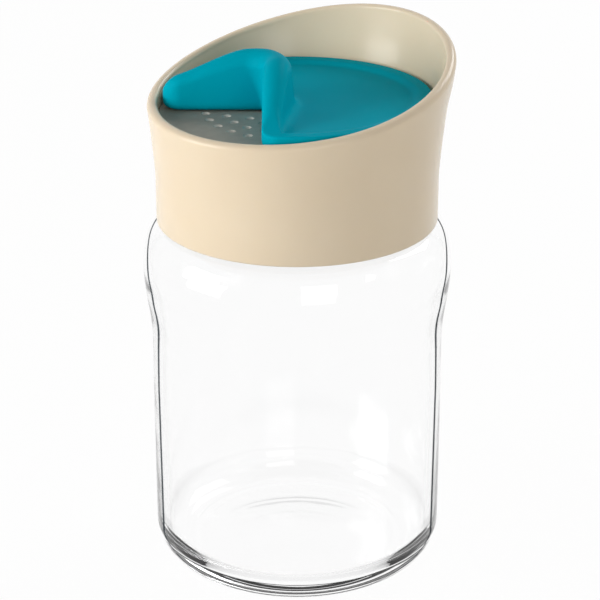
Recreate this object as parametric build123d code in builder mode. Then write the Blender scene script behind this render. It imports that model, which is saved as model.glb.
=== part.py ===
"""Glass salt shaker with a screw cap: a cream collar with a slanted rim, a perforated plate across its
middle, and a turning dial whose corner notch bares the holes or shuts them. The open lip faces -Y, the
high side of the rim faces +Y, and the origin is the centre of the foot."""

import os
from math import cos, degrees, radians, sqrt, tan

from build123d import *

# Glass jar, radii and heights from the table up
jar_body_radius = 33.4
jar_bulge_radius = 35.05
jar_wall = 2.4
jar_floor = 4.6
jar_heel_radius = 8.5
jar_bulge_height = 72.8
waist_drop = 15.8
bulge_drop = 6.3
bulge_sweep = 0.45
shoulder_rise = 10.2
shoulder_round = 1.4
shoulder_land = 3.5
inner_shoulder_drop = 4.6
inner_shoulder_set_in = 1.6
foot_ring_width = 1.6
foot_recess = 1.2

# Neck under the cap
neck_wall = 2.6
neck_height = 17.6
neck_root = 1.3
lip_round = 0.8

# Screw thread of neck and insert: the teeth fill the gap between the two walls
thread_gap = 1.3

# Gasket and threaded insert
gasket_thickness = 1.0
gasket_side_gap = 0.2
insert_wall = 1.3
insert_flange = 1.4
insert_recess = 1.2
insert_foot_gap = 1.2

# Collar: the neck and the dial take their radii from it
collar_skirt_radius = 31.75
collar_skirt_wall = 1.45
collar_gap = 0.2
collar_fit = 0.1
collar_ledge = 2.0
ledge_width = 3.1
skirt_height = 9.8
flare_height = 10.0
flare_step = 1.35
flare_belly = 0.75
rim_wall = 2.3
rim_flare = 2.4
rim_spare = 6.0
rim_low = 1.55
rim_middle = 7.15
rim_high = 17.45
rim_outer_round = 1.2
rim_inner_round = 0.7
skirt_round = 0.5

# Sifter plate
plate_thickness = 1.8
spigot_wall = 1.1
spigot_fit = 0.2
snap_bead = 0.5
snap_bead_height = 0.8
hole_radius = 0.85
hole_countersink = 0.2
hole_first_row = 11.7
hole_row_step = 4.3
hole_spacing = 4.72
hole_field_angle = -96.2
holes_in_rows = (2, 4, 6)
hub_radius = 6.5
hub_depth = 1.8
key_width = 4.0
key_reach = 1.0
key_count = 3

# Dial
dial_side_gap = 0.7
dial_lift = 0.3
dial_lip_height = 3.5
dial_lip_width = 2.0
lip_slope = 3.0
dial_floor = 2.1
dial_dish_depth = 0.25
dial_edge_round = 0.5
dial_turn_range = 90.0
notch_x = -4.77
notch_y = -6.54
horn_round = 4.3
fin_width = 6.2
fin_tip_width = 4.4
fin_height = 13.4
fin_tip_height = 6.4
fin_tip_fall = 26.0
fin_lip_fall = 28.0
fin_taper_length = 20.0
fin_stations = 14
fin_hollow = 2.2
nose_round = 4.0
nose_foot = 3.8
nose_slope = 24.0

# Pivot below the dial, and the stop that ends its travel
boss_radius = 4.0
pivot_clearance = 0.05
spring_height = 1.5
spring_sheet = 0.4
spring_width = 1.9
spring_clearance = 0.1
washer_radius = 6.4
washer_thickness = 0.8
screw_radius = 1.4
screw_length = 6.8
screw_head_radius = 2.9
screw_head_height = 1.7
screw_clearance = 0.05
pilot_spare = 0.3
stop_radius = 22.5
stop_angle = 70.0
stop_nib_radius = 1.0
stop_nib_height = 0.7
stop_clearance = 0.2

# Heights that follow from the stack of pieces on the jar's shoulder and lip
jar_waist_height = jar_bulge_height - waist_drop
jar_shoulder_height = jar_bulge_height + shoulder_rise
lip_top = jar_shoulder_height + neck_height
flange_bottom = lip_top + gasket_thickness
flange_top = flange_bottom + insert_flange
ledge_bottom = flange_top + insert_recess
ledge_top = ledge_bottom + collar_ledge
plate_top = ledge_top + plate_thickness
dial_bottom = plate_top + dial_lift
dial_lip_top = dial_bottom + dial_lip_height
dial_floor_top = dial_bottom + dial_floor
collar_bottom = jar_shoulder_height + collar_gap
flare_start = collar_bottom + skirt_height
flare_middle = plate_top + flare_height
hub_bottom = ledge_top - hub_depth
boss_bottom = hub_bottom - spring_height
washer_bottom = boss_bottom - washer_thickness

# Radii that follow from what fits in what, from the collar's skirt inwards
collar_bore = collar_skirt_radius - collar_skirt_wall
insert_radius = collar_bore - collar_fit
insert_bore = insert_radius - insert_wall
neck_radius = insert_bore - thread_gap
neck_bore = neck_radius - neck_wall
flare_radius = collar_skirt_radius + flare_step
bowl_radius = flare_radius - rim_wall
dial_radius = bowl_radius - dial_side_gap
plate_radius = bowl_radius - collar_fit
ledge_bore = plate_radius - ledge_width
spigot_radius = ledge_bore - spigot_fit


def arm_point(along, aside, side):
    """A point beside the notch's edge: along the edge from its corner, and aside into the dial."""
    diagonal = sqrt(0.5)
    return (
        notch_x + side * diagonal * (along + aside),
        notch_y + diagonal * (aside - along),
    )


# Glass jar: one turned wall from the foot ring to the lip
jar_inner_radius = jar_body_radius - jar_wall
bulge_inner_radius = jar_bulge_radius - jar_wall
heel_flat = jar_body_radius - jar_heel_radius
neck_foot_radius = neck_radius + neck_root
shoulder_radius = neck_foot_radius + shoulder_land
inner_heel = jar_heel_radius - jar_wall
with BuildPart() as glass_jar:
    with BuildSketch(Plane.XZ):
        with BuildLine():
            Spline(
                (0, foot_recess),
                (heel_flat - foot_ring_width, 0),
                tangents=((1, 0), (1, -0.04)),
            )
            Line((heel_flat - foot_ring_width, 0), (heel_flat, 0))
            RadiusArc(
                (heel_flat, 0),
                (jar_body_radius, jar_heel_radius),
                -jar_heel_radius,
            )
            Line((jar_body_radius, jar_heel_radius), (jar_body_radius, jar_waist_height))
            Spline(
                (jar_body_radius, jar_waist_height),
                (jar_bulge_radius - bulge_sweep, jar_bulge_height - bulge_drop),
                (jar_bulge_radius, jar_bulge_height),
                (shoulder_radius, jar_shoulder_height - shoulder_round),
                (neck_foot_radius, jar_shoulder_height),
                tangents=((0, 1), (-1, 0.1)),
            )
            Polyline(
                (neck_foot_radius, jar_shoulder_height),
                (neck_radius, jar_shoulder_height + neck_root),
                (neck_radius, lip_top),
                (neck_bore, lip_top),
                (neck_bore, jar_shoulder_height),
            )
            Spline(
                (neck_bore, jar_shoulder_height),
                (bulge_inner_radius - inner_shoulder_set_in, jar_shoulder_height - inner_shoulder_drop),
                (bulge_inner_radius, jar_bulge_height),
                (bulge_inner_radius - bulge_sweep, jar_bulge_height - bulge_drop),
                (jar_inner_radius, jar_waist_height),
                tangents=((0.25, -1), (0, -1)),
            )
            Line((jar_inner_radius, jar_waist_height), (jar_inner_radius, jar_floor + inner_heel))
            RadiusArc(
                (jar_inner_radius, jar_floor + inner_heel),
                (jar_inner_radius - inner_heel, jar_floor),
                inner_heel,
            )
            Polyline((jar_inner_radius - inner_heel, jar_floor), (0, jar_floor), (0, foot_recess))
        make_face()
    revolve(axis=Axis.Z)
    lip_edges = glass_jar.edges().filter_by(GeomType.CIRCLE).group_by(Axis.Z)[-1]
    fillet(lip_edges, lip_round)

# Gasket: a flat ring between the jar's lip and the insert's flange
gasket_bore = neck_bore + gasket_side_gap
with BuildPart() as jar_gasket:
    with BuildSketch(Plane.XY.offset(lip_top)):
        Circle(insert_bore - gasket_side_gap)
        Circle(gasket_bore, mode=Mode.SUBTRACT)
    extrude(amount=gasket_thickness)

# Threaded insert: the tube that screws on the neck, with the flange that presses the gasket
insert_bottom = collar_bottom + insert_foot_gap
with BuildPart() as thread_insert:
    with BuildSketch(Plane.XZ):
        with BuildLine():
            Polyline(
                (insert_bore, insert_bottom),
                (insert_radius, insert_bottom),
                (insert_radius, ledge_bottom),
                (insert_bore, ledge_bottom),
                (insert_bore, flange_top),
                (gasket_bore, flange_top),
                (gasket_bore, flange_bottom),
                (insert_bore, flange_bottom),
                close=True,
            )
        make_face()
    revolve(axis=Axis.Z)

# Collar: skirt, ledge and flared bowl, cut slanting by one large arc
rim_radius = flare_radius + rim_flare
rim_reach = rim_radius + rim_spare
blank_radius = rim_radius + 0.2
blank_top = plate_top + rim_high + rim_spare
with BuildPart() as collar_shell:
    with BuildSketch(Plane.XZ):
        with BuildLine():
            Line((collar_bore, collar_bottom), (collar_skirt_radius, collar_bottom))
            Line((collar_skirt_radius, collar_bottom), (collar_skirt_radius, flare_start))
            Spline(
                (collar_skirt_radius, flare_start),
                (flare_radius, plate_top + 0.5),
                (rim_radius - flare_belly, flare_middle),
                (blank_radius, blank_top),
                tangents=((0, 1), (0.02, 1)),
            )
            Line((blank_radius, blank_top), (blank_radius - rim_wall, blank_top))
            Spline(
                (blank_radius - rim_wall, blank_top),
                (rim_radius - flare_belly - rim_wall, flare_middle),
                (bowl_radius, plate_top + 0.5),
                tangents=((-0.02, -1), (-0.1, -1)),
            )
            Polyline(
                (bowl_radius, plate_top + 0.5),
                (bowl_radius, ledge_top),
                (ledge_bore, ledge_top),
                (ledge_bore, ledge_bottom),
                (collar_bore, ledge_bottom),
                (collar_bore, collar_bottom),
            )
        make_face()
    revolve(axis=Axis.Z)
    with BuildSketch(Plane.YZ):
        with BuildLine():
            ThreePointArc(
                (-rim_radius, plate_top + rim_low),
                (0, plate_top + rim_middle),
                (rim_radius, plate_top + rim_high),
            )
            Polyline(
                (rim_radius, plate_top + rim_high),
                (rim_reach, plate_top + rim_high + rim_spare / 4),
                (rim_reach, blank_top + rim_spare),
                (-rim_reach, blank_top + rim_spare),
                (-rim_reach, plate_top + rim_low),
                (-rim_radius, plate_top + rim_low),
            )
        make_face()
    extrude(amount=rim_reach, both=True, mode=Mode.SUBTRACT)
    rim_face = collar_shell.faces().filter_by(GeomType.CYLINDER).sort_by(SortBy.RADIUS)[-1]
    fillet(rim_face.outer_wire().edges(), rim_outer_round)
    rim_face = collar_shell.faces().filter_by(GeomType.CYLINDER).sort_by(SortBy.RADIUS)[-1]
    fillet(rim_face.inner_wires()[0].edges(), rim_inner_round)
    skirt_edges = collar_shell.edges().group_by(Axis.Z)[0].sort_by(SortBy.LENGTH)
    fillet(skirt_edges[-1:], skirt_round)
    with BuildSketch(Plane.XY.offset(ledge_bottom)):
        with PolarLocations(ledge_bore, key_count):
            Rectangle(2 * key_reach, key_width)
    extrude(amount=collar_ledge, mode=Mode.SUBTRACT)

# Sifter plate: perforated disc with a snap-in spigot, a hub and the groove of the dial's stop
spigot_bottom = ledge_bottom - snap_bead_height - 0.1
bead_top = ledge_bottom - 0.1
key_fit = 0.15
with BuildPart() as sifter_plate:
    with BuildSketch(Plane.XZ):
        with BuildLine():
            Polyline(
                (boss_radius + pivot_clearance, plate_top),
                (plate_radius, plate_top),
                (plate_radius, ledge_top),
                (spigot_radius, ledge_top),
                (spigot_radius, bead_top),
                (spigot_radius + snap_bead, bead_top),
                (spigot_radius, spigot_bottom),
                (spigot_radius - spigot_wall, spigot_bottom),
                (spigot_radius - spigot_wall, ledge_top),
                (hub_radius, ledge_top),
                (hub_radius, hub_bottom),
                (boss_radius + pivot_clearance, hub_bottom),
                close=True,
            )
        make_face()
    revolve(axis=Axis.Z)
    with BuildSketch(Plane.XY.offset(ledge_top)):
        with PolarLocations(spigot_radius, key_count):
            Rectangle(2 * (key_reach - key_fit), key_width - 2 * key_fit)
        Circle(spigot_radius - spigot_wall / 2, mode=Mode.SUBTRACT)
    extrude(amount=-collar_ledge)
    for row, count in enumerate(holes_in_rows):
        row_radius = hole_first_row + row * hole_row_step
        row_step = degrees(hole_spacing / row_radius)
        first_angle = hole_field_angle - row_step * (count - 1) / 2
        with BuildSketch(Plane.XY.offset(plate_top)):
            with PolarLocations(row_radius, count, first_angle, row_step * (count - 1), endpoint=True):
                Circle(hole_radius)
        extrude(amount=-plate_thickness, mode=Mode.SUBTRACT)
    hole_edges = sifter_plate.edges().filter_by(GeomType.CIRCLE).group_by(Axis.Z)[-1]
    chamfer(hole_edges.filter_by(lambda edge: edge.radius < 2 * hole_radius), hole_countersink)
    groove_half = stop_nib_radius + stop_clearance
    groove_spare = degrees(groove_half / stop_radius)
    groove_depth = stop_nib_height - dial_lift + stop_clearance
    groove_plane = Plane.XZ.rotated((0, 0, stop_angle - groove_spare))
    with BuildSketch(groove_plane):
        with Locations((stop_radius, plate_top)):
            Rectangle(2 * groove_half, 2 * groove_depth)
    revolve(axis=Axis.Z, revolution_arc=dial_turn_range + 2 * groove_spare, mode=Mode.SUBTRACT)

# Plan of the dial: the disc without its notch, both horns rounded
notch_reach = 2 * dial_radius
with BuildSketch(Plane.XY.offset(dial_bottom)) as dial_plan:
    Circle(dial_radius)
    with BuildLine():
        Polyline(
            (notch_x, notch_y),
            arm_point(notch_reach, 0, -1),
            arm_point(notch_reach, 0, 1),
            close=True,
        )
    make_face(mode=Mode.SUBTRACT)
    horns = dial_plan.vertices().sort_by(Axis.Y)[:2]
    fillet(horns, horn_round)


# Fin of the dial: a wall along both edges of the notch, its crest falling from the corner to the rim
def fin_section(along, height, side):
    """The fin cut across one arm: upright towards the notch, round on top, hollowed at its other foot."""
    x, y = arm_point(along, 0, side)
    width = fin_width + (fin_tip_width - fin_width) * min(along / fin_taper_length, 1)
    rise = height - dial_floor
    crest = min(0.48 * width, 0.5 * rise)
    hollow = min(fin_hollow, 0.9 * (rise - crest))
    across = Plane(origin=(x, y, dial_bottom), x_dir=(side, 1, 0), z_dir=(1, -side, 0))
    with BuildSketch(across) as section:
        with BuildLine():
            Line((0, 0), (0, height - crest))
            RadiusArc((0, height - crest), (crest, height), crest)
            Line((crest, height), (width - crest, height))
            RadiusArc((width - crest, height), (width, height - crest), crest)
            Line((width, height - crest), (width, dial_floor + hollow))
            RadiusArc((width, dial_floor + hollow), (width + hollow, dial_floor), -hollow)
            Line((width + hollow, dial_floor), (width + hollow, 0))
            Line((width + hollow, 0), (0, 0))
        make_face()
    return section.sketch


def fin_crest(along, tip_height, fall):
    """Height of the crest above the dial's underside: a half wave that sinks from the corner to the rim."""
    wave = (1 + cos(radians(180 * along / fall))) / 2
    return tip_height + (fin_height - tip_height) * wave


arm_length = 0.98 * dial_radius
with BuildPart() as dial_fin:
    for side, tip_height, fall in ((-1, fin_tip_height, fin_tip_fall), (1, dial_lip_height, fin_lip_fall)):
        reach = min(fall, arm_length)
        stations = [reach * step / fin_stations for step in range(fin_stations + 1)]
        loft([fin_section(along, fin_crest(along, tip_height, fall), side) for along in stations], ruled=True)
    corner_axis = Axis((notch_x, notch_y, 0), (0, 0, 1))
    revolve(fin_section(0, fin_height, 1), axis=corner_axis, revolution_arc=90)
    with BuildSketch(Plane.XZ):
        with BuildLine():
            nose_end = dial_radius - dial_edge_round
            nose_base = dial_bottom + nose_foot
            Line((0, dial_bottom), (nose_end, dial_bottom))
            Line((nose_end, dial_bottom), (nose_end, nose_base))
            nose = JernArc((nose_end, nose_base), (0, 1), nose_round, 90 - nose_slope)
            middle_top = (nose @ 1).Y + (nose @ 1).X * tan(radians(nose_slope))
            Line(nose @ 1, (0, middle_top))
            Line((0, middle_top), (0, dial_bottom))
        make_face()
    revolve(axis=Axis.Z, mode=Mode.INTERSECT)

# Dial: dished disc with its fin, notched, with the boss that turns in the plate's hub
with BuildPart() as dial:
    with BuildSketch(Plane.XZ):
        with BuildLine():
            lip_inside = dial_radius - dial_lip_width
            Polyline(
                (0, dial_bottom),
                (dial_radius - dial_edge_round, dial_bottom),
                (dial_radius, dial_bottom + dial_edge_round),
                (dial_radius, dial_lip_top - dial_edge_round),
            )
            RadiusArc(
                (dial_radius, dial_lip_top - dial_edge_round),
                (dial_radius - dial_edge_round, dial_lip_top),
                -dial_edge_round,
            )
            Line((dial_radius - dial_edge_round, dial_lip_top), (lip_inside, dial_lip_top))
            Spline(
                (lip_inside, dial_lip_top),
                (lip_inside - lip_slope, dial_floor_top),
                tangents=((-1, -0.5), (-1, -0.02)),
            )
            Line((lip_inside - lip_slope, dial_floor_top), (0, dial_floor_top - dial_dish_depth))
            Line((0, dial_floor_top - dial_dish_depth), (0, dial_bottom))
        make_face()
    revolve(axis=Axis.Z)
    add(dial_fin.part)
    extrude(dial_plan.sketch, amount=fin_height, mode=Mode.INTERSECT)
    with BuildSketch(Plane.XY.offset(dial_bottom)):
        Circle(boss_radius)
    extrude(amount=boss_bottom - dial_bottom)
    with BuildSketch(Plane.XY.offset(boss_bottom)):
        Circle(screw_radius + screw_clearance)
    extrude(amount=screw_length - washer_thickness + pilot_spare, mode=Mode.SUBTRACT)
    with BuildSketch(Plane.XY.offset(dial_bottom)):
        with PolarLocations(stop_radius, 1, stop_angle):
            Circle(stop_nib_radius)
    extrude(amount=-stop_nib_height)

# Spring washer: a coned ring that draws the dial down on the plate
spring_bore = boss_radius + 0.3
spring_outer = spring_bore + spring_width
with BuildPart() as spring_washer:
    with BuildSketch(Plane.XZ):
        with BuildLine():
            Polyline(
                (spring_bore, hub_bottom - spring_clearance),
                (spring_bore + 0.4, hub_bottom - spring_clearance),
                (spring_outer, boss_bottom + spring_sheet),
                (spring_outer, boss_bottom),
                (spring_outer - 0.4, boss_bottom),
                (spring_bore, hub_bottom - spring_clearance - spring_sheet),
                close=True,
            )
        make_face()
    revolve(axis=Axis.Z)

# Retaining washer: carries the spring and is clamped on the dial's boss
with BuildPart() as retaining_washer:
    with BuildSketch(Plane.XY.offset(washer_bottom)):
        Circle(washer_radius)
        Circle(screw_radius + screw_clearance, mode=Mode.SUBTRACT)
    extrude(amount=washer_thickness)

# Pivot screw: pan head below the washer, shank up the dial's boss
with BuildPart() as pivot_screw:
    with BuildSketch(Plane.XY.offset(washer_bottom - screw_head_height)):
        Circle(screw_head_radius)
    extrude(amount=screw_head_height)
    fillet(pivot_screw.edges().group_by(Axis.Z)[0], screw_head_height / 2)
    with BuildSketch(Plane.XY.offset(washer_bottom)):
        Circle(screw_radius)
    extrude(amount=screw_length)

pieces = {
    "glass_jar": glass_jar,
    "jar_gasket": jar_gasket,
    "thread_insert": thread_insert,
    "collar_shell": collar_shell,
    "sifter_plate": sifter_plate,
    "dial": dial,
    "spring_washer": spring_washer,
    "retaining_washer": retaining_washer,
    "pivot_screw": pivot_screw,
}
os.makedirs("parts", exist_ok=True)
for name, piece in pieces.items():
    piece.part.label = name
    export_step(piece.part, f"parts/{name}.step")
    size = piece.part.bounding_box().size
    print(name, "solids", len(piece.part.solids()), "size", size)
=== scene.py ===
# %% [markdown]
# A glass salt shaker with a turning dial, dressed for the camera. The construction comes from a packed
# CAD model, which holds every piece at its real size. This lesson gives each piece its surface: pressed
# glass, glossy cream plastic, a soft-edged teal dial and a perforated grey plate.

# %% Load the fixed frame
import math

import bmesh
import bpy
import numpy as np
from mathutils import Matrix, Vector


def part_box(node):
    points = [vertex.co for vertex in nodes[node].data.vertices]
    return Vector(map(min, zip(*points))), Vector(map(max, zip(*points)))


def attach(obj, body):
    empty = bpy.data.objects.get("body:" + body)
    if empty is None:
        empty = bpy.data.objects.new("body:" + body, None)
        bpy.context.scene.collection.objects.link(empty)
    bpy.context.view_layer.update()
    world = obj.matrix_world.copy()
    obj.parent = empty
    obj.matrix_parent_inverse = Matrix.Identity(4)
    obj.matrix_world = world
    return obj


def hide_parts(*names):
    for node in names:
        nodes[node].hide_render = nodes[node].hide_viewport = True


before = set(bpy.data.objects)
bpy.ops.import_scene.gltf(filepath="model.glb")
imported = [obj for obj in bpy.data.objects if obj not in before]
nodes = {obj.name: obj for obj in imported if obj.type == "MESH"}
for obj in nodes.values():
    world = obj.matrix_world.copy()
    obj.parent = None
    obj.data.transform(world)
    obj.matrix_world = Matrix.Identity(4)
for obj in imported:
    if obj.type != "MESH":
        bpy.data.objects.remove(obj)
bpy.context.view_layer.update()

MM = 0.001

# %% [markdown]
# The heights and radii in this cell are read from the CAD pieces or repeat their driving sizes, in
# millimetres. Later cells add their own. The solids leave out the thread, so its sizes are set where it is
# made, and the dial departs a little from its solid, to follow the photograph's outline more closely.

# %% Sizes taken from the CAD pieces
def low_mm(node):
    return [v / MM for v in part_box(node)[0]]


def high_mm(node):
    return [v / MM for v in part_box(node)[1]]


lip_top = high_mm("glass_jar")[2]
bulge_radius = high_mm("glass_jar")[0]
collar_bottom = low_mm("collar_shell")[2]
plate_top = high_mm("sifter_plate")[2]
insert_bottom = low_mm("thread_insert")[2]
insert_top = high_mm("thread_insert")[2]
dial_radius, dial_lift = 30.1, 0.3
dial_bottom = plate_top + dial_lift
bulge_height = lip_top - 27.8
shoulder_height = bulge_height + 10.2
print("lip", round(lip_top, 2), "plate", round(plate_top, 2), "bulge radius", round(bulge_radius, 2))

# %% [markdown]
# Most pieces here are turned: a jar, a ring and a collar are all one outline carried round an axis. So
# one function carries an outline round, and another makes a mesh of the points and faces. The outline may
# change on its way round, which is how the slanted rim and the screw thread are made.

# %% Mesh helpers
def finish_mesh(name, points, faces, smooth_angle):
    """A mesh object from points in millimetres, with smooth shading up to an angle."""
    mesh = bpy.data.meshes.new(name)
    mesh.from_pydata([tuple(c * MM for c in p) for p in points], [], faces)
    mesh.validate()
    work = bmesh.new()
    work.from_mesh(mesh)
    bmesh.ops.remove_doubles(work, verts=work.verts, dist=1e-7)
    bmesh.ops.recalc_face_normals(work, faces=work.faces)
    for edge in work.edges:
        edge.smooth = edge.calc_face_angle(math.pi) < math.radians(smooth_angle)
    for face in work.faces:
        face.smooth = True
    work.to_mesh(mesh)
    work.free()
    piece = bpy.data.objects.new(name, mesh)
    bpy.context.scene.collection.objects.link(piece)
    print(name, "has", len(mesh.polygons), "faces")
    return piece


def carried_round(outline_at, steps, closed):
    """Carries an outline round the upright axis; outline_at(angle) gives its points as radius and height."""
    points, faces = [], []
    for step in range(steps):
        angle = 2 * math.pi * step / steps
        outline = outline_at(angle)
        points += [(r * math.cos(angle), r * math.sin(angle), z) for r, z in outline]
    count = len(outline)
    for step in range(steps):
        here, there = step * count, (step + 1) % steps * count
        for row in range(count if closed else count - 1):
            up = (row + 1) % count
            faces.append((here + row, there + row, there + up, here + up))
    return points, faces


def turned(name, outline_at, steps, closed=True, smooth_angle=40):
    """A turned piece. A closed outline makes a ring, an open one starts and ends on the axis."""
    points, faces = carried_round(outline_at, steps, closed)
    return finish_mesh(name, points, faces, smooth_angle)


def arc(centre, radius, start, end, steps):
    """Points on an arc of an outline, its angles in degrees."""
    turn = [math.radians(start + (end - start) * i / steps) for i in range(steps + 1)]
    return [(centre[0] + radius * math.cos(a), centre[1] + radius * math.sin(a)) for a in turn]


def flow(points, first=None, last=None, steps=8):
    """A smooth curve through points: cubic pieces whose directions come from their neighbours."""
    p = [np.array(q, float) for q in points]
    slope = [(p[min(i + 1, len(p) - 1)] - p[max(i - 1, 0)]) / 2 for i in range(len(p))]
    if first is not None:
        slope[0] = np.array(first, float)
    if last is not None:
        slope[-1] = np.array(last, float)
    curve = [tuple(p[0])]
    for i in range(len(p) - 1):
        for step in range(1, steps + 1):
            t = step / steps
            a, b = 2 * t**3 - 3 * t**2 + 1, t**3 - 2 * t**2 + t
            c, d = -2 * t**3 + 3 * t**2, t**3 - t**2
            curve.append(tuple(a * p[i] + b * slope[i] + c * p[i + 1] + d * slope[i + 1]))
    return curve


def ease(t):
    """0 to 1 with level ends."""
    t = min(max(t, 0.0), 1.0)
    return t * t * (3 - 2 * t)


# %% [markdown]
# Colours are written as sRGB hex, the way a colour picker shows them. Shaders want linear light, so one
# function turns them. A second small function adds a shader node with its settings and links, and every
# material below is built with it.

# %% Colour and node helpers
def linear(hex_colour):
    """sRGB hex to linear RGBA."""
    parts = [int(hex_colour[i : i + 2], 16) / 255 for i in (1, 3, 5)]
    return [*(c / 12.92 if c <= 0.04045 else ((c + 0.055) / 1.055) ** 2.4 for c in parts), 1.0]


def add(tree, kind, links=None, **settings):
    """Adds a node, sets its attributes or input values, and links sockets into its inputs."""
    node = tree.nodes.new(kind)
    for key, value in settings.items():
        if hasattr(node, key):
            setattr(node, key, value)
        else:
            node.inputs[key.replace("_", " ")].default_value = value
    for key, socket in (links or {}).items():
        tree.links.new(socket, node.inputs[key])
    return node


def new_material(name):
    """An empty material and its node tree."""
    material = bpy.data.materials.new(name)
    material.use_nodes = True
    material.node_tree.nodes.clear()
    return material, material.node_tree


def close_material(tree, shader):
    add(tree, "ShaderNodeOutputMaterial", {"Surface": shader.outputs[0]})


# %% [markdown]
# The jar is soda-lime glass, pressed in a mould and fire polished. The glass itself is colourless: what
# the eye reads is the thin dark line just inside its outline, where the wall bends the light of the room
# away. In an all-white room nothing dark is left to be seen there, so the outer skin carries the line: a
# narrow ramp over the angle to the eye mixes a dark grey into the clear glass.

# %% Soda-lime glass
def pressed_glass(name, outer):
    material, tree = new_material(name)
    place = add(tree, "ShaderNodeTexCoord")
    waves = add(
        tree, "ShaderNodeTexNoise", {"Vector": place.outputs["Object"]}, Scale=1 / (9 * MM), Detail=1.0
    )
    bump = add(tree, "ShaderNodeBump", {"Height": waves.outputs["Fac"]}, Strength=0.06, Distance=0.4 * MM)
    glass = add(
        tree,
        "ShaderNodeBsdfGlass",
        {"Normal": bump.outputs["Normal"]},
        Color=linear("#FEFEFE"),
        IOR=1.5,
        Roughness=0.0,
    )
    if not outer:
        close_material(tree, glass)
        return material
    facing = add(tree, "ShaderNodeLayerWeight", Blend=0.5)
    line = add(tree, "ShaderNodeValToRGB", {"Fac": facing.outputs["Facing"]})
    stops = line.color_ramp.elements
    stops[0].position, stops[0].color = 0.735, linear("#000000")
    stops[1].position, stops[1].color = 0.752, linear("#FFFFFF")
    for position, colour in ((0.768, "#FFFFFF"), (0.79, "#000000")):
        stops.new(position).color = linear(colour)
    dark = add(tree, "ShaderNodeBsdfDiffuse", Color=linear("#3A4146"))
    skin = add(
        tree, "ShaderNodeMixShader", {0: line.outputs["Color"], 1: glass.outputs[0], 2: dark.outputs[0]}
    )
    close_material(tree, skin)
    return material


# %% [markdown]
# Collar, dial, plate and insert are injection moulded. A polished mould gives the collar its gloss, and a
# finely etched one leaves the dial almost without highlights. What betrays plastic is a fine orange peel,
# a soft glow where light enters the wall, and tiny changes of tone. One recipe serves collar, dial and
# insert, each with its own colours, roughness, grain in millimetres and depth of grain.

# %% Moulded plastics
def moulded_plastic(name, colour, shade, roughness, grain_mm, relief_mm, glow=0.0, shine=0.5):
    """Colour and shade are its two tones, glow the light that enters the wall, and shine its gloss."""
    material, tree = new_material(name)
    place = add(tree, "ShaderNodeTexCoord")
    peel = add(
        tree,
        "ShaderNodeTexNoise",
        {"Vector": place.outputs["Object"]},
        Scale=1 / (grain_mm * MM),
        Detail=2.0,
        Roughness=0.5,
    )
    cloud = add(
        tree, "ShaderNodeTexNoise", {"Vector": place.outputs["Object"]}, Scale=1 / (14 * MM), Detail=2.0
    )
    tone = add(tree, "ShaderNodeMix", {"Factor": cloud.outputs["Fac"]}, data_type="RGBA")
    tone.inputs[6].default_value = linear(shade)
    tone.inputs[7].default_value = linear(colour)
    bump = add(
        tree, "ShaderNodeBump", {"Height": peel.outputs["Fac"]}, Strength=1.0, Distance=relief_mm * MM
    )
    gloss = add(
        tree,
        "ShaderNodeMapRange",
        {"Value": peel.outputs["Fac"]},
        To_Min=roughness * 0.9,
        To_Max=roughness * 1.1,
    )
    plastic = add(
        tree,
        "ShaderNodeBsdfPrincipled",
        {
            "Base Color": tone.outputs[2],
            "Normal": bump.outputs["Normal"],
            "Roughness": gloss.outputs["Result"],
        },
        IOR=1.5,
        Subsurface_Weight=glow,
        Subsurface_Scale=1.0 * MM,
        Specular_IOR_Level=shine,
    )
    plastic.inputs["Subsurface Radius"].default_value = (1.0, 0.7, 0.4)
    close_material(tree, plastic)
    return material


# %% [markdown]
# The plate is a matte grey plastic with a spark-eroded grain. The real grain is finer than the render can
# show, so it is drawn at a third of a millimetre. The walls of the holes are painted pale: painted light
# that stands for the light showing through the holes, so from the side they read as light dots. A mask finds
# those
# walls by two things: they stand upright, and they lie in the plate's own thickness, near its top.

# %% Grey plastic with painted light in its holes
plate_thickness = 1.8
slab_bottom = max(point.co.z for point in nodes["sifter_plate"].data.vertices) - plate_thickness * MM


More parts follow.
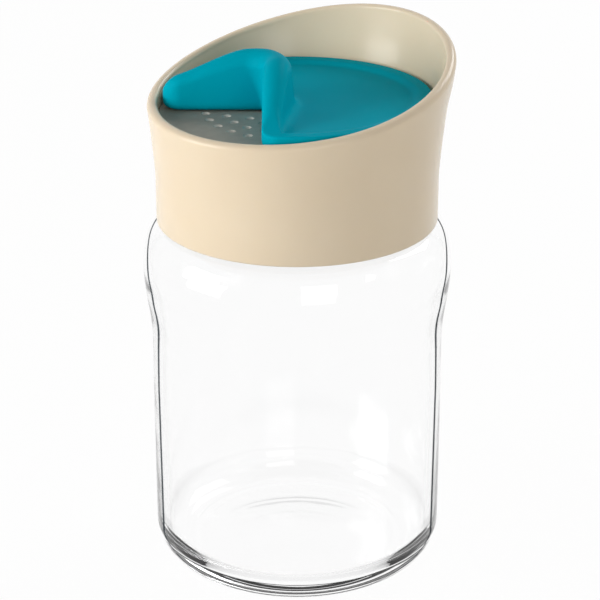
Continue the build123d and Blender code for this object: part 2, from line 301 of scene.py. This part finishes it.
def grey_plastic_with_painted_hole_light(name):
    material, tree = new_material(name)
    place = add(tree, "ShaderNodeTexCoord")
    grain = add(
        tree, "ShaderNodeTexNoise", {"Vector": place.outputs["Object"]}, Scale=1 / (0.35 * MM), Detail=2.0
    )
    cloud = add(
        tree, "ShaderNodeTexNoise", {"Vector": place.outputs["Object"]}, Scale=1 / (2.5 * MM), Detail=3.0
    )
    tone = add(tree, "ShaderNodeMix", {"Factor": cloud.outputs["Fac"]}, data_type="RGBA")
    tone.inputs[6].default_value = linear("#9A948A")
    tone.inputs[7].default_value = linear("#B1AB9E")
    shape = add(tree, "ShaderNodeNewGeometry")
    facing = add(tree, "ShaderNodeSeparateXYZ", {0: shape.outputs["True Normal"]})
    level = add(tree, "ShaderNodeMath", {0: facing.outputs["Z"]}, operation="ABSOLUTE")
    upright = add(tree, "ShaderNodeMapRange", {"Value": level.outputs[0]}, From_Min=0.9, From_Max=0.5)
    spot = add(tree, "ShaderNodeSeparateXYZ", {0: place.outputs["Object"]})
    high = add(tree, "ShaderNodeMath", {0: spot.outputs["Z"]}, operation="GREATER_THAN")
    high.inputs[1].default_value = slab_bottom
    both = add(
        tree, "ShaderNodeMath", {0: upright.outputs["Result"], 1: high.outputs[0]}, operation="MULTIPLY"
    )
    # painted light: the upright hole walls near the top are mixed to a pale grey, for the light that shows
    # through the holes
    painted_hole_light = add(tree, "ShaderNodeMix", {"Factor": both.outputs[0], 6: tone.outputs[2]}, data_type="RGBA")
    painted_hole_light.inputs[7].default_value = linear("#D8D6CE")
    bump = add(tree, "ShaderNodeBump", {"Height": grain.outputs["Fac"]}, Strength=1.0, Distance=0.01 * MM)
    plastic = add(
        tree,
        "ShaderNodeBsdfPrincipled",
        {"Base Color": painted_hole_light.outputs[2], "Normal": bump.outputs["Normal"]},
        Roughness=0.5,
        IOR=1.5,
        Specular_IOR_Level=0.2,
    )
    close_material(tree, plastic)
    return material


# %% [markdown]
# The gasket is translucent silicone rubber: matte, slightly milky, with light going well into it. The
# washers and the screw are stainless steel, blanked and tumbled, so their gloss is broken up by short
# scratches that run every way. They are drawn at half a millimetre, coarser than real ones, so that they
# show at all.

# %% Silicone and stainless steel
def silicone_rubber():
    material, tree = new_material("silicone_rubber_moulded")
    place = add(tree, "ShaderNodeTexCoord")
    skin = add(
        tree, "ShaderNodeTexNoise", {"Vector": place.outputs["Object"]}, Scale=1 / (0.8 * MM), Detail=2.0
    )
    bump = add(tree, "ShaderNodeBump", {"Height": skin.outputs["Fac"]}, Strength=0.4, Distance=0.02 * MM)
    rubber = add(
        tree,
        "ShaderNodeBsdfPrincipled",
        {"Normal": bump.outputs["Normal"]},
        Base_Color=linear("#E4E4DE"),
        Roughness=0.5,
        IOR=1.41,
        Subsurface_Weight=0.4,
        Subsurface_Scale=1.5 * MM,
    )
    close_material(tree, rubber)
    return material


def tumbled_steel(name):
    material, tree = new_material(name)
    place = add(tree, "ShaderNodeTexCoord")
    scratches = add(
        tree,
        "ShaderNodeTexNoise",
        {"Vector": place.outputs["Object"]},
        Scale=1 / (0.5 * MM),
        Detail=4.0,
        Distortion=1.5,
    )
    gloss = add(tree, "ShaderNodeMapRange", {"Value": scratches.outputs["Fac"]}, To_Min=0.29, To_Max=0.42)
    bump = add(
        tree, "ShaderNodeBump", {"Height": scratches.outputs["Fac"]}, Strength=0.3, Distance=0.01 * MM
    )
    steel = add(
        tree,
        "ShaderNodeBsdfPrincipled",
        {"Roughness": gloss.outputs["Result"], "Normal": bump.outputs["Normal"]},
        Base_Color=linear("#C2C3C5"),
        Metallic=1.0,
    )
    close_material(tree, steel)
    return material


glass_outside = pressed_glass("soda_lime_glass_outside", True)
glass_inside = pressed_glass("soda_lime_glass_inside", False)
cream_plastic = moulded_plastic(
    "abs_cream_gloss", "#EAD9BE", "#E6D3B6", 0.22, 0.9, 0.004, glow=0.08, shine=0.28
)
teal_plastic = moulded_plastic(
    "polypropylene_teal_satin", "#00ABC2", "#00A2B6", 0.35, 0.7, 0.004, shine=0.004
)
white_plastic = moulded_plastic("polypropylene_natural", "#EDEBE2", "#E6E3D8", 0.4, 0.6, 0.005, glow=0.2)
grey_plastic = grey_plastic_with_painted_hole_light("polypropylene_grey_matte")
silicone = silicone_rubber()
stainless = tumbled_steel("stainless_steel_tumbled")


def dress(piece, material):
    piece.data.materials.clear()
    piece.data.materials.append(material)
    return piece


# %% [markdown]
# The screw thread is a right-hand helix of 4.5 mm lead. A tooth is a smooth bump whose middle climbs one
# lead each turn. Its height fades in and out over a quarter of a turn, as on a pressed neck. The same
# function, half a lead lower, makes the insert's tooth, so the two never touch at any turn.

# %% Screw thread
thread_lead, fade_turns = 4.5, 0.25
neck_thread_start, neck_turns, neck_tooth_width, neck_tooth_depth = lip_top - 13.6, 2.7, 2.4, 1.0
insert_thread_start, insert_turns = neck_thread_start - 0.5 * thread_lead, 2.0
insert_tooth_width, insert_tooth_depth = 1.7, 0.9


def tooth(angle, height, start, turns, width):
    """Height of a tooth from 0 to 1 at a point of the wall."""
    winding = angle / (2 * math.pi)
    turn = round((height - start) / thread_lead - winding) + winding
    middle = start + thread_lead * turn
    across = abs(height - middle) / (width / 2)
    fade = ease(turn / fade_turns) * ease((turns - turn) / fade_turns)
    return fade * ease(1.6 * (1 - across))


# %% [markdown]
# The jar is one closed skin: up the outside from the foot ring, over the lip, and down the inside. The
# outline has arcs at heel and lip and smooth curves at waist and shoulder. The base is pushed up, so the
# jar stands on a ring. The glass floor is thicker than the wall, which gives the bright lens at the foot.
# Only the outer skin has the dark line, so the faces that look inwards get the plain glass.

# %% Glass jar
body_radius, wall, floor_height, heel = 33.4, 2.4, 4.6, 8.5
neck_radius, neck_bore, neck_root, lip_round = 27.6, 25.0, 1.3, 0.8
heel_flat = body_radius - heel
foot_ring = 1.6
foot_bore, foot_recess = heel_flat - foot_ring, 1.2
inner_radius, inner_heel = body_radius - wall, heel - wall
waist_height = bulge_height - 15.8
neck_rows = 56
dome_shares = (0.0, 0.15, 0.3, 0.45, 0.58, 0.7, 0.8, 0.88, 0.94, 0.98)


def jar_outline(angle):
    """Up the outside from the middle of the base, over the lip, and down the inside."""
    foot = [(foot_bore * share, foot_recess * (1 - share**2) ** 1.5) for share in dome_shares]
    foot += [(foot_bore, 0.0), (heel_flat - foot_ring / 2, 0.0)]
    foot += arc((heel_flat, heel), heel, -90, 0, 14)
    shoulder = flow(
        [
            (body_radius, waist_height - 14),
            (body_radius + 0.02, waist_height),
            (bulge_radius - 0.45, bulge_height - 6.3),
            (bulge_radius, bulge_height),
            (bulge_radius - 0.75, bulge_height + 5.6),
            (bulge_radius - 2.65, shoulder_height - 1.4),
            (neck_radius + neck_root, shoulder_height),
        ],
        last=(-2.5, 0.2),
    )
    low, high = shoulder_height + neck_root, lip_top - lip_round
    neck = []
    for row in range(neck_rows + 1):
        height = low + (high - low) * row / neck_rows
        raised = tooth(angle, height, neck_thread_start, neck_turns, neck_tooth_width)
        neck.append((neck_radius + neck_tooth_depth * raised, height))
    lip = arc((neck_radius - lip_round, high), lip_round, 0, 90, 5)[1:]
    lip += arc((neck_bore + lip_round, high), lip_round, 90, 180, 5)
    inner_bulge = bulge_radius - wall
    inside = flow(
        [
            (neck_bore, shoulder_height + 4),
            (neck_bore + 0.4, shoulder_height),
            (inner_bulge - 1.6, shoulder_height - 4.6),
            (inner_bulge, bulge_height),
            (inner_bulge - 0.45, bulge_height - 6.3),
            (inner_radius, waist_height),
            (inner_radius, waist_height - 14),
        ],
        first=(0, -2),
    )
    inside += arc((inner_radius - inner_heel, floor_height + inner_heel), inner_heel, 0, -90, 10)
    floor = [(12.0, floor_height + 0.1), (0.0, floor_height + 0.2)]
    return foot + shoulder + neck + lip + inside + floor


jar = dress(turned("jar_glass_body", jar_outline, 256, closed=False, smooth_angle=60), glass_outside)
jar.data.materials.append(glass_inside)
inner_faces = 0
for face in jar.data.polygons:
    reach = math.hypot(face.center.x, face.center.y) / MM
    height = face.center.z / MM
    # The inward faces of the wall, and the upward faces of the floor and of the curve round it
    inward = face.normal.x * face.center.x + face.normal.y * face.center.y < 0 and reach < neck_radius + 6
    upward = 3.0 < height < 30 and reach < inner_radius + 0.01 and face.normal.z > 0.01
    if inward or upward:
        face.material_index = 1
        inner_faces += 1
print("inside faces of the jar:", inner_faces)
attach(jar, "jar")
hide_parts("glass_jar")

# %% [markdown]
# The threaded insert is white polypropylene, a plain ring with the matching tooth inside. The collar
# hides it while the cap is on, and a raised cap shows little more than its lower rim.

# %% Threaded insert
insert_bore, insert_radius, flange_bore, insert_rows = 28.9, 30.2, 25.2, 48
flange_low, flange_high = insert_top - 2.6, insert_top - 1.2


def insert_outline(angle):
    """Up the toothed bore, round the flange, and down the plain outside."""
    bore = []
    for row in range(insert_rows + 1):
        height = insert_bottom + (flange_low - insert_bottom) * row / insert_rows
        raised = tooth(angle, height, insert_thread_start, insert_turns, insert_tooth_width)
        bore.append((insert_bore - insert_tooth_depth * raised, height))
    flange = [(flange_bore, flange_low), (flange_bore, flange_high), (insert_bore, flange_high)]
    outside = [(insert_bore, insert_top), (insert_radius, insert_top), (insert_radius, insert_bottom)]
    return bore + flange + outside


insert = dress(turned("threaded_insert", insert_outline, 192), white_plastic)
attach(insert, "cap")
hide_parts("thread_insert")

# %% [markdown]
# The collar is the piece that catches the eye: a plain skirt that flares into a bowl, cut slanting by one
# large arc. Its rim has to be round in section all the way, and that is hard to bevel well. So the outline
# is drawn anew at each angle, with the rim's height worked out from the slant.

# %% Collar
rim_low, rim_middle, rim_high, rim_span = 1.55, 7.15, 17.36, 35.5
outer_round, inner_round, rim_wall, crest_inset, skirt_round = 1.25, 0.8, 2.3, 1.2, 0.5
outside_rows, inside_rows = 30, 24
skirt_radius, collar_bore, bowl_radius, ledge_bore = 31.75, 30.3, 30.8, 27.6
flare_start = collar_bottom + 9.8
ledge_bottom, ledge_top = insert_top, insert_top + 2.0
flare_points = [
    (skirt_radius, flare_start),
    (bowl_radius + rim_wall, plate_top + 0.5),
    (rim_span - 0.75, plate_top + 10.0),
    (rim_span + 0.2, plate_top + 23.45),
]
flare = np.array(flow(flare_points, first=(0, 9), last=(0.3, 13), steps=24))


def outer_radius(height):
    return float(np.interp(height, flare[:, 1], flare[:, 0]))


def rim_height(y):
    """The slanting arc through its three points, low at -Y and high at +Y."""
    rise, bend = (rim_high - rim_low) / (2 * rim_span), (rim_high + rim_low) / 2 - rim_middle
    return plate_top + rim_middle + rise * y + bend * (y / rim_span) ** 2


def collar_outline(angle):
    """Up the skirt, over the rim at its height for this angle, down the bowl, and round the hidden ledge."""
    y = math.sin(angle)
    crest = rim_height(y * (outer_radius(rim_height(y * rim_span)) - crest_inset))
    low, inner_high, inner_low = crest - outer_round, crest - inner_round, plate_top + 0.3
    skirt = [(collar_bore, collar_bottom), (skirt_radius - skirt_round, collar_bottom)]
    skirt += arc((skirt_radius - skirt_round, collar_bottom + skirt_round), skirt_round, -90, 0, 4)
    heights = [flare_start + (low - flare_start) * row / outside_rows for row in range(outside_rows + 1)]
    outside = [(outer_radius(height), height) for height in heights]
    top_radius = outer_radius(low)
    rim = arc((top_radius - outer_round, low), outer_round, 0, 90, 8)[1:]
    rim += arc((top_radius - rim_wall + inner_round, inner_high), inner_round, 90, 180, 6)
    inside = []
    for row in range(1, inside_rows + 1):
        height = inner_high + (inner_low - inner_high) * row / inside_rows
        inside.append((max(outer_radius(height) - rim_wall, bowl_radius), height))
    ledge = [(bowl_radius, ledge_top), (ledge_bore, ledge_top)]
    ledge += [(ledge_bore, ledge_bottom), (collar_bore, ledge_bottom)]
    return skirt + outside + rim + inside + ledge


collar = dress(turned("collar_cream", collar_outline, 288, smooth_angle=50), cream_plastic)
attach(collar, "cap")
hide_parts("collar_shell")

# %% [markdown]
# The dial is a disc with a corner cut out of it and a fin that follows the cut. Every ray from the
# notch's corner crosses the disc once, so the top can be laid out as rays and rings about that corner.
# The height at each point is then plain arithmetic. The fin is half round on top, its far side falls at
# 85 degrees into a hollow on the floor, and its crest sinks in a half wave from the corner to the rim.

# %% Dial: its height at a point
corner = np.array((-4.4, -6.17))
lip_height, lip_width, lip_slope, floor_thickness, dish = 3.5, 2.6, 2.4, 3.0, 0.5
fin_height, fin_hollow, nose_round, flank = 13.7, 2.2, 4.0, math.radians(85)
taper_length, edge_round, blend_height = 20.0, 0.5, 2.5
diagonal = math.sqrt(0.5)
left_arm, right_arm = 0, 1
arm_ways = [np.array((-diagonal, -diagonal)), np.array((diagonal, -diagonal))]
arm_asides = [np.array((-diagonal, diagonal)), np.array((diagonal, diagonal))]
arm_falls = [(6.4, 0.0, 26.0), (lip_height, 4.5, 28.0)]
arm_narrows = [(6.9, 4.6), (6.9, 4.2)]
corner_round_low, corner_round_high, corner_spread = 0.8, 4.5, 4.5
corner_centre = corner + corner_round_high * (arm_ways[left_arm] + arm_ways[right_arm])


def from_notch(point):
    """The nearer arm, the distance into the dial from the notch's wall, and the distance along the arm."""
    away = point - corner_centre
    shares = [-away @ way for way in arm_ways]
    if min(shares) > 0:
        arm = left_arm if shares[left_arm] < shares[right_arm] else right_arm
        across = float(np.linalg.norm(away)) - corner_round_high
        return arm, max(across, 0.0), corner_round_high * (1 - min(shares) / max(shares))
    away = point - corner
    for arm in (left_arm, right_arm):
        along, across = away @ arm_ways[arm], away @ arm_asides[arm]
        if along > 0 and across > -1e-9:
            return arm, max(across, 0.0), along
    return right_arm, 0.0, 0.0


def crest_height(arm, along):
    """Height of the fin's crest at a distance along an arm."""
    low, start, end = arm_falls[arm]
    share = min(max(along - start, 0.0) / (end - start), 1.0)
    return low + (fin_height - low) * (1 + math.cos(math.pi * share)) / 2


def round_over(distance, radius):
    """How far a rounded edge lies below its face at a distance from the outline."""
    inside = radius - min(max(distance, 0.0), radius)
    return radius - math.sqrt(radius**2 - inside**2)


def fin_profile(across, width, crest, floor):
    """Height of the fin's section without its notch side: top, rounding, steep flank and hollow."""
    rise = crest - floor
    rounding = min(width / 2, 0.5 * rise)
    hollow = min(fin_hollow, 0.9 * (rise - rounding * (1 - math.cos(flank))))
    top_end = width - rounding * (1 - math.sin(flank))
    top_drop = crest - rounding * (1 - math.cos(flank))
    hollow_start = floor + hollow * (1 - math.cos(flank))
    flank_end = top_end + max(top_drop - hollow_start, 0.0) / math.tan(flank)
    if across < top_end:
        return crest - round_over(width - across, rounding)
    if across < flank_end:
        return top_drop - (across - top_end) * math.tan(flank)
    left = flank_end + hollow * math.sin(flank) - across
    return floor + hollow - math.sqrt(hollow**2 - left**2) if left > 0 else floor


def dial_top(point, gap):
    """Height above the dial's underside, at a point and its distance from the outline."""
    arm, across, along = from_notch(point)
    middle_distance = float(np.linalg.norm(point))
    floor = floor_thickness - dish * (1 - (middle_distance / dial_radius) ** 2)
    base = floor + (lip_height - floor) * ease(1 - (dial_radius - middle_distance - lip_width) / lip_slope)
    crest = crest_height(arm, along)
    wide, narrow = arm_narrows[arm]
    width = wide + (narrow - wide) * min(along / taper_length, 1.0)
    top = fin_profile(across, width, crest, base) if crest > base + 0.05 else base
    share = ease((top - lip_height) / blend_height)
    rounding = edge_round + (min(width / 2, 0.5 * (crest - base + 1.0)) - edge_round) * share
    nose = round_over(dial_radius - middle_distance, nose_round) * share
    return top - max(round_over(gap, rounding), nose)


# %% [markdown]
# The outline of the dial, seen from the corner, is the rim's circle with both horns rounded off. A horn
# is rounded by a small circle that touches the notch's edge and the rim. Rings are then spaced closely at
# the outline, where the edge turns over. Further in they are spaced evenly along the surface, so that the
# fin's steep flank gets its share of them. The inner corner of the notch is blended, more so towards the
# top, and the bottom edge is rounded, as both are on the moulding.

# %% Dial: its outline
horn_round, foot_round = 4.3, 1.4
first_angle, first_rays, arm_ray_step, arm_rays, open_rays = 1.6, 8, 0.85, 80, 50


def horn(arm):
    """Centre of the small circle that rounds the horn between an arm's edge and the rim."""
    start = corner + arm_asides[arm] * horn_round
    middle = start @ arm_ways[arm]
    root = middle**2 - start @ start + (dial_radius - horn_round) ** 2
    return start + arm_ways[arm] * (-middle + math.sqrt(root))


horn_centres = [horn(arm) for arm in (left_arm, right_arm)]


def outline_gap(spot):
    """Distance from a point of the dial to its outline."""
    gap = min(from_notch(spot)[1], dial_radius - float(np.linalg.norm(spot)))
    for arm, centre in enumerate(horn_centres):
        sides = np.stack([-arm_asides[arm], centre / np.linalg.norm(centre)], axis=1)
        shares = np.linalg.solve(sides, spot - centre)
        if shares[0] > 0 and shares[1] > 0:
            gap = horn_round - float(np.linalg.norm(spot - centre))
    return max(gap, 0.0)


def reach_of(ray):
    """Distance from the corner to the outline along a ray."""
    middle = corner @ ray
    reach = -middle + math.sqrt(middle**2 - corner @ corner + dial_radius**2)
    for arm, centre in enumerate(horn_centres):
        touch = centre / np.linalg.norm(centre) * dial_radius - corner
        widest = touch @ arm_ways[arm] / np.linalg.norm(touch)
        if ray @ arm_ways[arm] > widest:
            near = (centre - corner) @ ray
            root = near**2 - (centre - corner) @ (centre - corner) + horn_round**2
            reach = near + math.sqrt(max(root, 0.0))
    return reach


def ray_angles():
    """Angles from the right arm round to the left arm, close together along both arms."""
    near = [first_angle * (i / first_rays) ** 1.5 for i in range(first_rays)]
    near += [first_angle + arm_ray_step * i for i in range(arm_rays)]
    start = near[-1]
    middle = [start + (270 - 2 * start) * i / open_rays for i in range(1, open_rays)]
    return [-45 + a for a in near + middle] + [-45 + 270 - a for a in reversed(near)]


def round_corner(spot, radius):
    """Moves a point beside the notch's corner, so that the two walls meet in a fillet of this radius."""
    centre = corner + radius * (arm_ways[left_arm] + arm_ways[right_arm])
    away = spot - centre
    shares = [-away @ way for way in arm_ways]
    distance = float(np.linalg.norm(away))
    if min(shares) <= 0:
        return spot
    edge = radius * distance / max(shares)
    if distance >= edge + corner_spread:
        return spot
    moved = radius + (distance - edge) * (edge + corner_spread - radius) / corner_spread
    return centre + away / distance * moved


# %% Dial: its mesh
ring_insets = [0.0, 0.03, 0.1, 0.22, 0.36, 0.52, 0.75, 1.0, 1.3, 1.6, 2.0, 2.4, 2.8, 3.3, 3.8, 4.3, 4.8, 5.4]
near_depths = [5.2, 4.5, 3.9, 3.4, 3.0, 2.6, 2.2, 1.8, 1.4, 1.1, 0.8, 0.5, 0.25, 0.1]
foot_rows, wall_rows, floor_steps, surface_samples = 5, 12, 36, 121


def even_depths(ray, start, end):
    """Depths between two ends of a ray, spaced evenly along the dial's surface, its steep flank included."""
    depths = np.linspace(start, end, surface_samples)
    spots = [round_corner(corner + ray * depth, corner_round_high) for depth in depths]
    heights = [dial_top(spot, outline_gap(spot)) for spot in spots]
    lengths = np.concatenate(([0.0], np.cumsum(np.hypot(np.diff(depths), np.diff(heights)))))
    return list(np.interp(np.linspace(0, lengths[-1], floor_steps + 1)[1:-1], lengths, depths))


def dial_column(ray, reach):
    """Points from the outline to the corner along one ray."""
    depths = [reach - inset for inset in ring_insets]
    depths += even_depths(ray, depths[-1], near_depths[0]) + near_depths
    spots = [corner + ray * depth for depth in depths]
    placed = [round_corner(spot, corner_round_high) for spot in spots]
    return spots, [(spot[0], spot[1], dial_top(spot, outline_gap(spot))) for spot in placed]


def dial_surface():
    """The top, laid out on rays about the corner, and the loop of points along its outline."""
    rays = [np.array((math.cos(math.radians(a)), math.sin(math.radians(a)))) for a in ray_angles()]
    rays[0], rays[-1] = arm_ways[right_arm], arm_ways[left_arm]
    inmost = round_corner(corner, corner_round_high)
    sharp, points = [corner], [(inmost[0], inmost[1], dial_top(inmost, 0.0))]
    columns, faces = [], []
    for ray in rays:
        spots, column = dial_column(ray, reach_of(ray))
        columns.append(list(range(len(points), len(points) + len(column))))
        sharp += spots
        points += column
    for left, right in zip(columns, columns[1:]):
        faces += [(a, b, c, d) for a, b, c, d in zip(left, left[1:], right[1:], right)]
        faces.append((left[-1], 0, right[-1]))
    loop = [0] + columns[0][::-1][:-1] + [column[0] for column in columns] + columns[-1][1:]
    return sharp, points, faces, loop


def add_side(sharp, points, faces, loop):
    """The side wall below the outline, its rounded foot, and the underside."""
    rows = [loop]
    count = len(loop)
    path = np.array([sharp[i] for i in loop])
    tangent = np.roll(path, -1, axis=0) - np.roll(path, 1, axis=0)
    tangent /= np.linalg.norm(tangent, axis=1)[:, None]
    inward = np.stack([-tangent[:, 1], tangent[:, 0]], axis=1)
    levels = [(0.0, (wall_rows - row) / wall_rows) for row in range(1, wall_rows + 1)]
    for row in range(1, foot_rows + 1):
        turn = math.pi / 2 * row / foot_rows
        levels.append((foot_round * (1 - math.cos(turn)), -math.sin(turn)))
    for shift, share in levels:
        new_row = []
        for i, index in enumerate(loop):
            tall = points[index][2]
            height = foot_round + share * (tall - foot_round if share > 0 else foot_round)
            radius = corner_round_low + (corner_round_high - corner_round_low) * max(share, 0.0) ** 1.3
            spot = round_corner(path[i] + inward[i] * shift, radius)
            new_row.append(len(points))
            points.append((spot[0], spot[1], max(height, 0.0)))
        rows.append(new_row)
    for upper, lower in zip(rows, rows[1:]):
        faces += [(upper[i], upper[(i + 1) % count], lower[(i + 1) % count], lower[i]) for i in range(count)]
    # The underside is a fan of triangles about a point that sees the whole outline.
    hub = corner - 3.0 * (arm_ways[left_arm] + arm_ways[right_arm])
    faces += [(rows[-1][i], rows[-1][(i + 1) % count], len(points)) for i in range(count)]
    points.append((hub[0], hub[1], 0.0))


def dial_mesh():
    sharp, points, faces, loop = dial_surface()
    add_side(sharp, points, faces, loop)
    return [(x, y, dial_bottom + z) for x, y, z in points], faces


# %% [markdown]
# Under the disc the dial has two small turned forms, both hidden by the plate. A boss with a pilot hole
# for the screw is the pivot, and a nib runs in the plate's groove and stops the dial at both ends.

# %% Dial: boss and stop nib
boss_radius, boss_bottom = 4.0, low_mm("dial")[2]
pilot_radius, pilot_top = 1.45, high_mm("pivot_screw")[2] + 0.3
nib_radius, nib_bottom = 1.0, dial_bottom - 0.7
stop_radius, stop_angle = 22.5, math.radians(70)
sunk_top = dial_bottom + 1.2


def add_below(points, faces, outline, centre):
    """Adds a turned form under the disc, sunk a little into it."""
    start = len(points)
    form_points, form_faces = carried_round(lambda angle: outline, 48, False)
    points += [(x + centre[0], y + centre[1], z) for x, y, z in form_points]
    faces += [tuple(start + i for i in face) for face in form_faces]


dial_points, dial_faces = dial_mesh()
pilot = [(0.0, pilot_top), (pilot_radius, pilot_top), (pilot_radius, boss_bottom)]
boss = pilot + [(boss_radius, boss_bottom), (boss_radius, sunk_top), (0.0, sunk_top)]
add_below(dial_points, dial_faces, boss, (0.0, 0.0))
nib = [(0.0, nib_bottom), (nib_radius, nib_bottom), (nib_radius, sunk_top), (0.0, sunk_top)]
nib_centre = (stop_radius * math.cos(stop_angle), stop_radius * math.sin(stop_angle))
add_below(dial_points, dial_faces, nib, nib_centre)
print("boss from", round(boss_bottom, 2), "to the disc at", round(dial_bottom, 2))
dial = finish_mesh("dial_teal", dial_points, dial_faces, smooth_angle=50)
dress(dial, teal_plastic)
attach(dial, "dial")
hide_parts("dial")

# %% [markdown]
# Plate, gasket, washers and screw keep their CAD shape. They only need their finish.

# %% Finish of the carried-over pieces
for node, material in (
    ("sifter_plate", grey_plastic),
    ("jar_gasket", silicone),
    ("spring_washer", stainless),
    ("retaining_washer", stainless),
    ("pivot_screw", stainless),
):
    dress(nodes[node], material)
    print(node, "gets", material.name)

# %% [markdown]
# The object stands on a plain pale floor in a white room. A white background comes from the camera's own
# rays, never from more light on the object, and glass and gloss see that same white. The light that the
# room really gives is dimmer: strongest at the horizon, and almost none from straight above.

# %% Floor and world
def pale_floor():
    material, tree = new_material("studio_floor_paper")
    rays = add(tree, "ShaderNodeLightPath")
    bent = add(
        tree,
        "ShaderNodeMath",
        {0: rays.outputs["Is Glossy Ray"], 1: rays.outputs["Is Transmission Ray"]},
        operation="MAXIMUM",
    )
    direct = add(tree, "ShaderNodeMath", {0: rays.outputs["Is Camera Ray"]}, operation="MULTIPLY")
    direct.inputs[1].default_value = 0.97  # the last 3 percent is real paper, which keeps the shadow
    share = add(tree, "ShaderNodeMath", {0: bent.outputs[0], 1: direct.outputs[0]}, operation="MAXIMUM")
    paper = add(tree, "ShaderNodeBsdfDiffuse", Color=linear("#F4F3F0"))
    white = add(tree, "ShaderNodeEmission", Color=linear("#FFFFFF"), Strength=1.0)
    mixed = add(tree, "ShaderNodeMixShader", {0: share.outputs[0], 1: paper.outputs[0], 2: white.outputs[0]})
    close_material(tree, mixed)
    return material


floor_mesh = bpy.data.meshes.new("studio_floor")
half = 2.0
floor_mesh.from_pydata(
    [(-half, -half, 0), (half, -half, 0), (half, half, 0), (-half, half, 0)], [], [(0, 1, 2, 3)]
)
studio_floor = bpy.data.objects.new("studio_floor", floor_mesh)
bpy.context.scene.collection.objects.link(studio_floor)
dress(studio_floor, pale_floor())

world = bpy.data.worlds.new("white_room")
bpy.context.scene.world = world
world.use_nodes = True
world.node_tree.nodes.clear()
room = world.node_tree
rays = add(room, "ShaderNodeLightPath")
looking = add(
    room,
    "ShaderNodeMath",
    {0: rays.outputs["Is Camera Ray"], 1: rays.outputs["Is Transmission Ray"]},
    operation="MAXIMUM",
)
seen = add(
    room,
    "ShaderNodeMath",
    {0: looking.outputs[0], 1: rays.outputs["Is Glossy Ray"]},
    operation="MAXIMUM",
)
place = add(room, "ShaderNodeTexCoord")
upward = add(room, "ShaderNodeSeparateXYZ", {0: place.outputs["Generated"]})
fading = add(room, "ShaderNodeMapRange", {"Value": upward.outputs["Z"]}, To_Min=0.68, To_Max=0.02)
dim = add(room, "ShaderNodeBackground", {"Strength": fading.outputs["Result"]}, Color=linear("#FFFFFF"))
bright = add(room, "ShaderNodeBackground", Color=linear("#FFFFFF"), Strength=1.0)
mixed = add(room, "ShaderNodeMixShader", {0: seen.outputs[0], 1: dim.outputs[0], 2: bright.outputs[0]})
add(room, "ShaderNodeOutputWorld", {"Surface": mixed.outputs[0]})

# %% [markdown]
# The camera stands where the photograph's stood, found by fitting the outlines of jar, collar and rim:
# 45 degrees round from the low side, 22.7 degrees above the horizon, half a metre away, with a long lens.

# %% Camera
view_azimuth, view_elevation = math.radians(45.0), math.radians(22.69)
view_distance, view_height, view_side, focal_px, frame_px = 500.0, 62.52, 0.64, 2175.15, 600
sideways = Vector((math.cos(view_azimuth), math.sin(view_azimuth), 0))
back = Vector((math.sin(view_azimuth), -math.cos(view_azimuth), 0)) * math.cos(view_elevation)
back.z = math.sin(view_elevation)
camera_data = bpy.data.cameras.new("camera")
camera = bpy.data.objects.new("camera", camera_data)
bpy.context.scene.collection.objects.link(camera)
camera.location = (sideways * view_side + back * view_distance + Vector((0, 0, view_height))) * MM
camera.rotation_euler = (-back).to_track_quat("-Z", "Y").to_euler()
camera_data.sensor_width = 36.0
camera_data.lens = focal_px / frame_px * camera_data.sensor_width
camera_data.clip_start = 0.01
bpy.context.scene.camera = camera
print("lens in mm:", round(camera_data.lens, 1))

# %% [markdown]
# The light is a large soft lamp on the left, a little in front and above, which gives the collar its
# bright left side and leaves the right side in a soft shade. A weak one from the front fills that shade,
# and one from behind and above lights the bowl. All three aim at a point about two thirds up the object.

# %% Lamps
lamp_distance, aim = 0.9, Vector((0, 0, 80 * MM))


def soft_lamp(name, azimuth, elevation, size, watts):
    """A square lamp aimed at the object; azimuth is measured from the camera's side, to the right."""
    turn, lift = view_azimuth + math.radians(azimuth), math.radians(elevation)
    way = Vector((math.sin(turn) * math.cos(lift), -math.cos(turn) * math.cos(lift), math.sin(lift)))
    data = bpy.data.lights.new(name, "AREA")
    data.shape, data.size, data.energy = "SQUARE", size, watts
    lamp = bpy.data.objects.new(name, data)
    bpy.context.scene.collection.objects.link(lamp)
    lamp.location = way * lamp_distance + aim
    lamp.rotation_euler = (-way).to_track_quat("-Z", "Y").to_euler()


soft_lamp("key_lamp", azimuth=-74, elevation=14, size=0.5, watts=5.5)
soft_lamp("fill_lamp", azimuth=16, elevation=14, size=0.4, watts=1.3)
soft_lamp("bowl_lamp", azimuth=140, elevation=40, size=0.4, watts=3.2)

# %% View transform
bpy.context.scene.view_settings.view_transform = "Standard"
